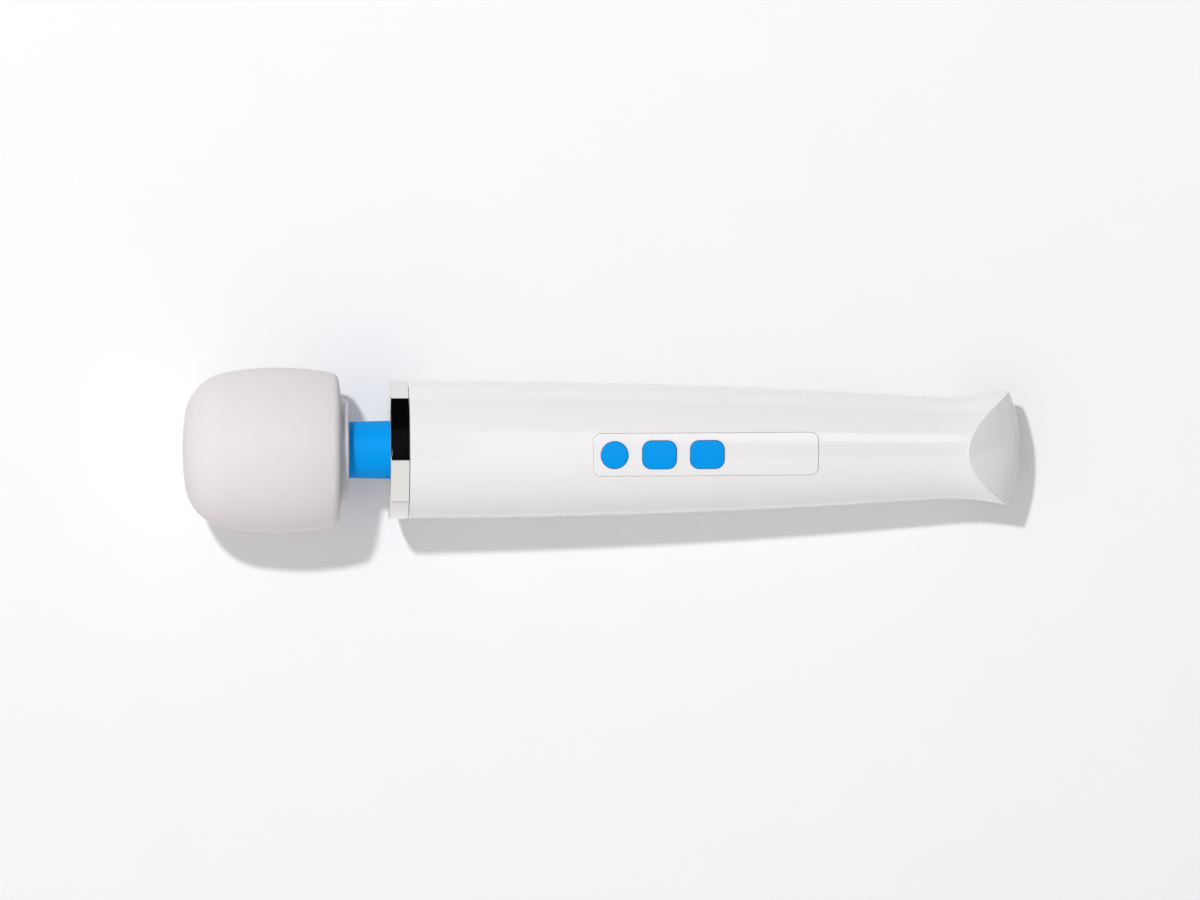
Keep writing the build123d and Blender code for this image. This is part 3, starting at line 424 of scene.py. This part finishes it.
def lead_half(name, way, from_motor):
    """Half of one of the motor's leads, on the side that way gives. It bends inwards from the motor."""
    if from_motor:
        route = [(LEAD_START, LEAD_OUT)]
        route += arc((LEAD_TURN - LEAD_BEND, LEAD_OUT - LEAD_BEND), LEAD_BEND, 90, 0, 8)
        route += arc((LEAD_TURN + LEAD_BEND, LEAD_SPACING + LEAD_BEND), LEAD_BEND, 180, 270, 8)
        route += [(station, LEAD_SPACING) for station in straight(route[-1][0], NECK_MIDDLE, 20)[1:]]
    else:
        route = [(station, LEAD_SPACING) for station in straight(NECK_MIDDLE, LEAD_END, 24)]
    centers = [at(station, out * way) for station, out in route]
    return tube(name, centers, LEAD_RADIUS, "wire_insulation", sides=16)


def make_neck_side(word, sleeve_end, first_turn, last_turn):
    """One half of the sleeve, the spring and the leads."""
    in_front = word == "front"
    halves = [
        sleeve_half(f"neck_sleeve_{word}", sleeve_end),
        spring_half(f"neck_spring_{word}", first_turn, last_turn),
        lead_half(f"motor_lead_a_{word}", 1, in_front),
        lead_half(f"motor_lead_b_{word}", -1, in_front),
    ]
    for half in halves:
        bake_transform(half)
    return halves


middle_turn = SPRING_TURNS // 2
front_halves = make_neck_side("front", SLEEVE_START, 0, middle_turn)
make_neck_side("rear", SLEEVE_END, middle_turn, SPRING_TURNS)
for half, node in zip(front_halves, ("neck_sleeve", "neck_spring", "motor_leads")):
    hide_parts(node)

# ------------------------------------------------------------------ stage

# The sheet touches the head at its widest, and tilts until it touches the handle.
rest_x = tip_x + barrel_center[0] * MM
handle_x = rest_x + 0.1
slope = min(
    v.co.z / (v.co.x - rest_x)
    for name in ("rear_shell", "tail_cap")
    for v in nodes[name].data.vertices
    if v.co.x > handle_x
)


def flat_card(name, corners, material):
    """One flat face."""
    built = bmesh.new()
    built.faces.new([built.verts.new(corner) for corner in corners])
    return link_object(name, built, material)


def make_floor():
    """A pale sheet that the head and the handle both rest on."""
    reach = 4
    drop = 0.0001
    along = Vector((1, 0, slope)).normalized() * reach
    side = Vector((0, reach, 0))
    center = Vector((rest_x, 0, 0)) - Vector((-slope, 0, 1)).normalized() * drop
    corners = (center - along - side, center + along - side, center + along + side, center - along + side)
    material = make_material("floor", (0.93, 0.935, 0.94), 0.75, 0.004, 0.05, (300, 0.00002))
    floor = flat_card("floor", corners, material)


def make_flag():
    """A black card across the sheet beyond the wand. Only gloss sees it."""
    y, reach, height = 0.2, 1.5, 0.3
    corners = ((-reach, y, 0), (reach, y, 0), (reach, y, height), (-reach, y, height))
    material = make_material("flag", (0.003, 0.003, 0.004), 0.9, specular=0.0)
    flag = flat_card("flag", corners, material)
    for ray in ("camera", "diffuse", "transmission", "volume_scatter", "shadow"):
        setattr(flag, f"visible_{ray}", False)


make_floor()
make_flag()

# ------------------------------------------------------------------ light

VIEW_STATION = 125.5
middle = at(VIEW_STATION)


def area_light(name, toward, distance, size, radiance, color=(1, 1, 1), shape="RECTANGLE"):
    """A light that faces the wand's middle, given its direction from there and how bright its face is."""
    data = bpy.data.lights.new(name, "AREA")
    data.shape = shape
    data.size, data.size_y = size
    share = math.pi / 4 if shape == "ELLIPSE" else 1
    data.energy = radiance * math.pi * share * size[0] * size[1]
    data.color = color
    light = bpy.data.objects.new(name, data)
    away = Vector(toward).normalized()
    light.location = middle + away * distance
    light.rotation_mode = "QUATERNION"
    across = (Vector((1, 0, 0)) - away * away.x).normalized()
    light.rotation_quaternion = Matrix((across, away.cross(across), away)).transposed().to_quaternion()
    bpy.context.scene.collection.objects.link(light)
    return light


def make_lights():
    """A small key light, and three soft boxes that only gloss sees."""
    key_color = (0.96, 0.975, 1.0)
    area_light("key", (-0.345, 0.465, 1.0), 1.73, (0.1, 0.1), 615, key_color, shape="ELLIPSE")
    soft_box_distance = 1.5
    for name, toward, size, radiance in (
        ("strip", (0.596, 0.66, 1.0), (1.0, 0.80), 2.2),
        ("window", (0.083, 0.27, 1.0), (0.15, 1.60), 1.2),
        ("panel", (-0.125, 0.33, 0.92), (0.32, 1.50), 2.2),
    ):
        soft_box = area_light(name, toward, soft_box_distance, size, radiance)
        soft_box.visible_diffuse = False
        soft_box.visible_camera = False


def make_world():
    """A white studio, brightest overhead and behind the camera. Gloss sees a dark room beyond the wand."""
    sky = (0.88, 0.855, 0.86)
    black = (0, 0, 0)
    bright_room = (0.945, 0.945, 0.94)
    dark_room = (0.003, 0.003, 0.004)
    dim_sideways, dim_beyond, dim_tailwards = 0.4, 0.3, 0.85
    dark_from, dark_to = math.radians(-13.5), math.radians(-11.5)

    world = bpy.data.worlds.new("studio")
    bpy.context.scene.world = world
    world.use_nodes = True
    made = Nodes(world.node_tree)
    split = made.add("ShaderNodeSeparateXYZ")
    made.give(split.inputs[0], made.add("ShaderNodeTexCoord").outputs["Generated"])
    x, y, z = split.outputs
    sideways = made.calculate("MULTIPLY", made.calculate("ABSOLUTE", x), dim_sideways)
    beyond = made.calculate("MULTIPLY", y, dim_beyond)
    tailwards = made.calculate("MULTIPLY", made.calculate("MAXIMUM", x, 0.0), dim_tailwards)
    soft = made.mix(made.calculate("ADD", made.calculate("ADD", sideways, beyond), tailwards), sky, black)
    edge = made.remap(made.calculate("ARCTAN2", y, z), dark_from, dark_to, interpolation="SMOOTHSTEP")
    gloss = made.mix(edge, bright_room, dark_room)
    background = made.add("ShaderNodeBackground")
    glossy_ray = made.add("ShaderNodeLightPath").outputs["Is Glossy Ray"]
    made.give(background.inputs["Color"], made.mix(glossy_ray, soft, gloss))
    made.give(made.add("ShaderNodeOutputWorld").inputs["Surface"], background.outputs[0])


make_lights()
make_world()

# ------------------------------------------------------------------ camera


def make_camera():
    """A camera that looks down on the sheet, leaning a little towards +Y, with +Y up."""
    distance = 2.0
    frame_width = 0.3614
    sensor_width = 36
    lean_x, lean_y, roll = (math.radians(angle) for angle in (3.8, 5.2, 0.17))
    data = bpy.data.cameras.new("camera")
    data.sensor_width = sensor_width
    data.lens = sensor_width * distance / frame_width
    data.clip_start = 0.05
    data.clip_end = 20
    camera = bpy.data.objects.new("camera", data)
    back = Vector((-math.tan(lean_x), math.tan(lean_y), 1)).normalized()
    camera.location = at(VIEW_STATION, y=-0.25) + back * distance
    right = Vector((-math.sin(roll), math.cos(roll), 0)).cross(back).normalized()
    camera.rotation_mode = "QUATERNION"
    camera.rotation_quaternion = Matrix((right, back.cross(right), back)).transposed().to_quaternion()
    bpy.context.scene.collection.objects.link(camera)
    bpy.context.scene.camera = camera


make_camera()
bpy.context.scene.view_settings.view_transform = "Standard"
bpy.context.scene.view_settings.look = "None"
